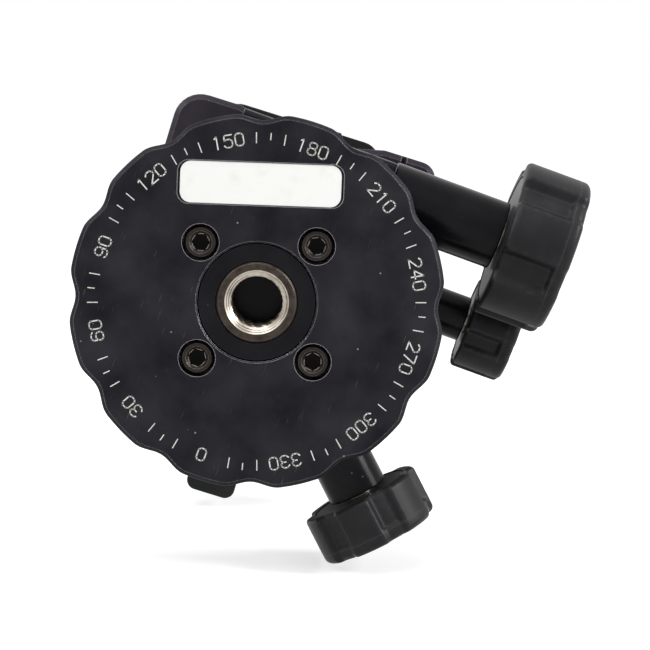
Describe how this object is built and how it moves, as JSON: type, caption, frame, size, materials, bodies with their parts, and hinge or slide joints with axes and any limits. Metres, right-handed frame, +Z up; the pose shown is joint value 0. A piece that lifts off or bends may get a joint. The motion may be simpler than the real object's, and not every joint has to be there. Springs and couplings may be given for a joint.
{
  "type": "tripod ball head",
  "caption": "Tripod ball head with a scalloped panning base, three lobed rubber knobs, a ball in a notched housing and a lever-release plate clamp.",
  "frame": {"origin": "centre of the base plate's underside, at the mouth of the tripod thread", "axes": "+Z up the head along the panning axis, +X along the main locking knob"},
  "size_m": [0.0738, 0.0766, 0.0794],
  "materials": {
    "black_anodised": "fine bead-blasted black anodising with a faint purple cast",
    "plum_anodised": "black anodising faded towards purple",
    "jaw_anodised": "hard anodising with a greenish cast",
    "ball": "smooth hard anodising",
    "steel": "turned",
    "dark_steel": "blackened, worn brown",
    "brass": "turned",
    "rubber": "moulded, matte",
    "knob_hub": "moulded, satin",
    "polymer": "machined",
    "label": "white, blank",
    "vial": "clear, yellow-green liquid"
  },
  "bodies": {
    "base": {"base_plate": "black_anodised", "pan_drum": "black_anodised", "tripod_bush": "steel", "base_screw_1": "dark_steel", "base_screw_2": "dark_steel", "base_screw_3": "dark_steel", "base_screw_4": "dark_steel", "label_plate": "label"},
    "housing": {"housing": "black_anodised", "pan_retaining_ring": "black_anodised", "pan_lower_washer": "polymer", "pan_upper_washer": "polymer", "chamber_floor": "black_anodised", "disc_spring_1": "steel", "disc_spring_2": "steel", "disc_spring_3": "steel", "disc_spring_4": "steel", "upper_ball_seat": "polymer", "main_lock_neck": "black_anodised", "tension_neck": "black_anodised", "pan_lock_neck": "black_anodised"},
    "main_knob": {"main_lock_screw": "steel", "main_knob_hub": "knob_hub", "main_knob_grip": "rubber"},
    "lock_wedge": {"lock_wedge": "brass"},
    "lower_cup": {"lower_ball_cup": "polymer"},
    "tension_knob": {"tension_screw": "steel", "tension_knob_hub": "knob_hub", "tension_knob_grip": "rubber"},
    "tension_pad": {"tension_pad": "brass"},
    "pan_knob": {"pan_lock_screw": "steel", "pan_knob_hub": "knob_hub", "pan_knob_grip": "rubber"},
    "pan_pad": {"pan_brake_pad": "brass"},
    "ball": {"ball": "ball"},
    "stem": {"ball_stem": "black_anodised", "stem_collar": "black_anodised"},
    "clamp": {"clamp_body": "plum_anodised", "fixed_jaw": "jaw_anodised", "jaw_key": "black_anodised", "fixed_jaw_screw_1": "dark_steel", "fixed_jaw_screw_2": "dark_steel", "clamp_bolt": "dark_steel", "guide_pin_1": "steel", "guide_pin_2": "steel", "jaw_spring_1": "steel", "jaw_spring_2": "steel", "level_cup": "knob_hub", "level_vial": "vial", "lever_pin": "steel"},
    "sliding_jaw": {"sliding_jaw": "jaw_anodised"},
    "lever": {"release_lever": "jaw_anodised", "lever_cam": "brass"}
  },
  "joints": [
    {"name": "pan_turn", "type": "hinge", "parent": "base", "child": "housing", "pos_m": [0, 0, 0.0119], "axis": [0, 0, 1], "continuous": true},
    {"name": "main_lock_turn", "type": "hinge", "parent": "housing", "child": "main_knob", "pos_m": [0.039, -0.0221, 0.0203], "axis": [1, 0, 0], "range_deg": [-255, 0]},
    {"name": "wedge_slide", "type": "slide", "parent": "housing", "child": "lock_wedge", "axis": [1, 0, 0], "range_m": [0, 0.000885]},
    {"name": "cup_lift", "type": "slide", "parent": "housing", "child": "lower_cup", "axis": [0, 0, 1], "range_m": [0, 0.00013]},
    {"name": "tension_turn", "type": "hinge", "parent": "housing", "child": "tension_knob", "pos_m": [0.039, -0.0065, 0.036], "axis": [1, 0, 0], "range_deg": [-90, 0]},
    {"name": "tension_pad_slide", "type": "slide", "parent": "housing", "child": "tension_pad", "axis": [-1, 0, 0], "range_m": [0, 0.0001994]},
    {"name": "pan_lock_turn", "type": "hinge", "parent": "housing", "child": "pan_knob", "pos_m": [0.02882, 0.02687, 0.01185], "axis": [0.7314, 0.682, 0], "range_deg": [-90, 0]},
    {"name": "pan_pad_slide", "type": "slide", "parent": "housing", "child": "pan_pad", "axis": [-0.7314, -0.682, 0], "range_m": [0, 0.0001994]},
    {"name": "ball_side_tilt", "type": "hinge", "parent": "housing", "child": "ball", "pos_m": [0, 0, 0.038], "axis": [1, 0, 0], "range_deg": [-30, 30]},
    {"name": "ball_drop_tilt", "type": "hinge", "parent": "ball", "child": "stem", "pos_m": [0, 0, 0.038], "axis": [0, -1, 0], "range_deg": [-30, 90]},
    {"name": "clamp_turn", "type": "hinge", "parent": "stem", "child": "clamp", "pos_m": [0, 0, 0.066], "axis": [0, 0, 1], "continuous": true},
    {"name": "lever_swing", "type": "hinge", "parent": "clamp", "child": "lever", "pos_m": [-0.01652, 0.03171, 0.0705], "axis": [0, 0, 1], "range_deg": [0, 90]},
    {"name": "jaw_slide", "type": "slide", "parent": "clamp", "child": "sliding_jaw", "axis": [0.0471, 0.9989, 0], "range_m": [0, 0.0024]}
  ],
  "couplings": [
    {"joint": "main_lock_turn", "follows": "wedge_slide", "rad_per_m": -5025.1},
    {"joint": "cup_lift", "follows": "wedge_slide", "ratio": 0.14054},
    {"joint": "tension_turn", "follows": "tension_pad_slide", "rad_per_m": -7874},
    {"joint": "pan_lock_turn", "follows": "pan_pad_slide", "rad_per_m": -7874},
    {"joint": "lever_swing", "follows": "jaw_slide", "rad_per_m": 654.88}
  ]
}
